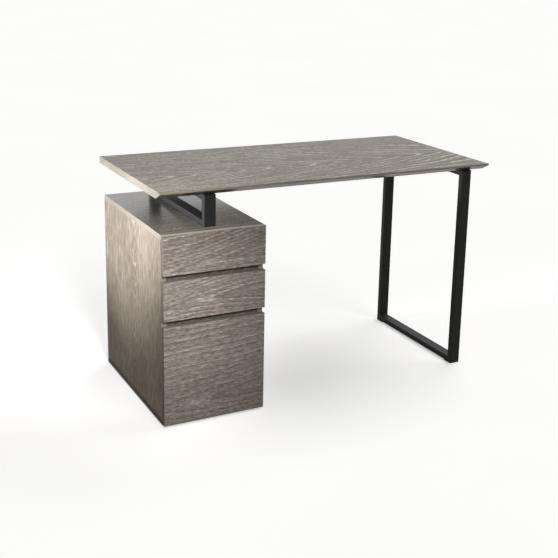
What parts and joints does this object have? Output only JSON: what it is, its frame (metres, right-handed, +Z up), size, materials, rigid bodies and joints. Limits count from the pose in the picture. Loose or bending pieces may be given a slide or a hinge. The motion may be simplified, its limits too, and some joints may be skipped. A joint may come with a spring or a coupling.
{
  "type": "writing desk",
  "caption": "Writing desk: wooden top with a bevelled front edge on a flat steel loop leg and, by a low steel spacer loop, on a drawer pedestal with finger-gap pulls.",
  "frame": {"origin": "on the floor, at the centre of the overall footprint", "axes": "+X to the user's right along the desk, -Y towards the user, +Z up"},
  "size_m": [1.24, 0.636, 0.76],
  "materials": {
    "oak_top": "grey-brown brushed oak veneer, matt lacquer",
    "oak_front": "grey-brown brushed oak veneer, grain across the front",
    "oak_side": "grey-brown brushed oak veneer, upright grain",
    "drawer_board": "light oak foil on board",
    "drawer_base": "light oak foil on thin board",
    "beech": "plain turned beech",
    "black_steel": "satin black powder coat",
    "runner_steel": "zinc plated, satin",
    "bolt_steel": "zinc plated",
    "black_plastic": "moulded, matt"
  },
  "bodies": {
    "desk_frame": {"desktop": "oak_top", "leg_front_post": "black_steel", "leg_rear_post": "black_steel", "leg_bottom_rail": "black_steel", "leg_top_rail": "black_steel", "leg_floor_pads": "black_plastic", "leg_bolts": "bolt_steel", "spacer_front_post": "black_steel", "spacer_rear_post": "black_steel", "spacer_bottom_rail": "black_steel", "spacer_top_rail": "black_steel", "spacer_bolts": "bolt_steel", "pedestal_left_side": "oak_side", "pedestal_right_side": "oak_side", "pedestal_top": "oak_top", "pedestal_bottom": "oak_side", "pedestal_back": "oak_side", "upper_cross_rail": "oak_front", "lower_cross_rail": "oak_front", "carcass_dowels": "beech", "pedestal_glides": "black_plastic", "top_drawer_left_runner_outer": "runner_steel", "top_drawer_right_runner_outer": "runner_steel", "middle_drawer_left_runner_outer": "runner_steel", "middle_drawer_right_runner_outer": "runner_steel", "file_drawer_left_runner_outer": "runner_steel", "file_drawer_right_runner_outer": "runner_steel"},
    "top_drawer": {"top_drawer_front": "oak_front", "top_drawer_inner_front": "drawer_board", "top_drawer_left_side": "drawer_board", "top_drawer_right_side": "drawer_board", "top_drawer_back": "drawer_board", "top_drawer_bottom": "drawer_base", "top_drawer_front_screws": "bolt_steel", "top_drawer_left_runner_inner": "runner_steel", "top_drawer_right_runner_inner": "runner_steel"},
    "top_drawer_runner_middles": {"top_drawer_left_runner_middle": "runner_steel", "top_drawer_right_runner_middle": "runner_steel"},
    "middle_drawer": {"middle_drawer_front": "oak_front", "middle_drawer_inner_front": "drawer_board", "middle_drawer_left_side": "drawer_board", "middle_drawer_right_side": "drawer_board", "middle_drawer_back": "drawer_board", "middle_drawer_bottom": "drawer_base", "middle_drawer_front_screws": "bolt_steel", "middle_drawer_left_runner_inner": "runner_steel", "middle_drawer_right_runner_inner": "runner_steel"},
    "middle_drawer_runner_middles": {"middle_drawer_left_runner_middle": "runner_steel", "middle_drawer_right_runner_middle": "runner_steel"},
    "file_drawer": {"file_drawer_front": "oak_front", "file_drawer_inner_front": "drawer_board", "file_drawer_left_side": "drawer_board", "file_drawer_right_side": "drawer_board", "file_drawer_back": "drawer_board", "file_drawer_bottom": "drawer_base", "file_drawer_front_screws": "bolt_steel", "file_drawer_left_runner_inner": "runner_steel", "file_drawer_right_runner_inner": "runner_steel"},
    "file_drawer_runner_middles": {"file_drawer_left_runner_middle": "runner_steel", "file_drawer_right_runner_middle": "runner_steel"}
  },
  "joints": [
    {"name": "top_drawer_slide", "type": "slide", "parent": "desk_frame", "child": "top_drawer", "axis": [0, -1, 0], "range_m": [0, 0.48]},
    {"name": "top_drawer_runner_slide", "type": "slide", "parent": "desk_frame", "child": "top_drawer_runner_middles", "axis": [0, -1, 0], "range_m": [0, 0.24]},
    {"name": "middle_drawer_slide", "type": "slide", "parent": "desk_frame", "child": "middle_drawer", "axis": [0, -1, 0], "range_m": [0, 0.48]},
    {"name": "middle_drawer_runner_slide", "type": "slide", "parent": "desk_frame", "child": "middle_drawer_runner_middles", "axis": [0, -1, 0], "range_m": [0, 0.24]},
    {"name": "file_drawer_slide", "type": "slide", "parent": "desk_frame", "child": "file_drawer", "axis": [0, -1, 0], "range_m": [0, 0.48]},
    {"name": "file_drawer_runner_slide", "type": "slide", "parent": "desk_frame", "child": "file_drawer_runner_middles", "axis": [0, -1, 0], "range_m": [0, 0.24]}
  ],
  "couplings": [
    {"joint": "top_drawer_runner_slide", "follows": "top_drawer_slide", "ratio": 0.5},
    {"joint": "middle_drawer_runner_slide", "follows": "middle_drawer_slide", "ratio": 0.5},
    {"joint": "file_drawer_runner_slide", "follows": "file_drawer_slide", "ratio": 0.5}
  ]
}
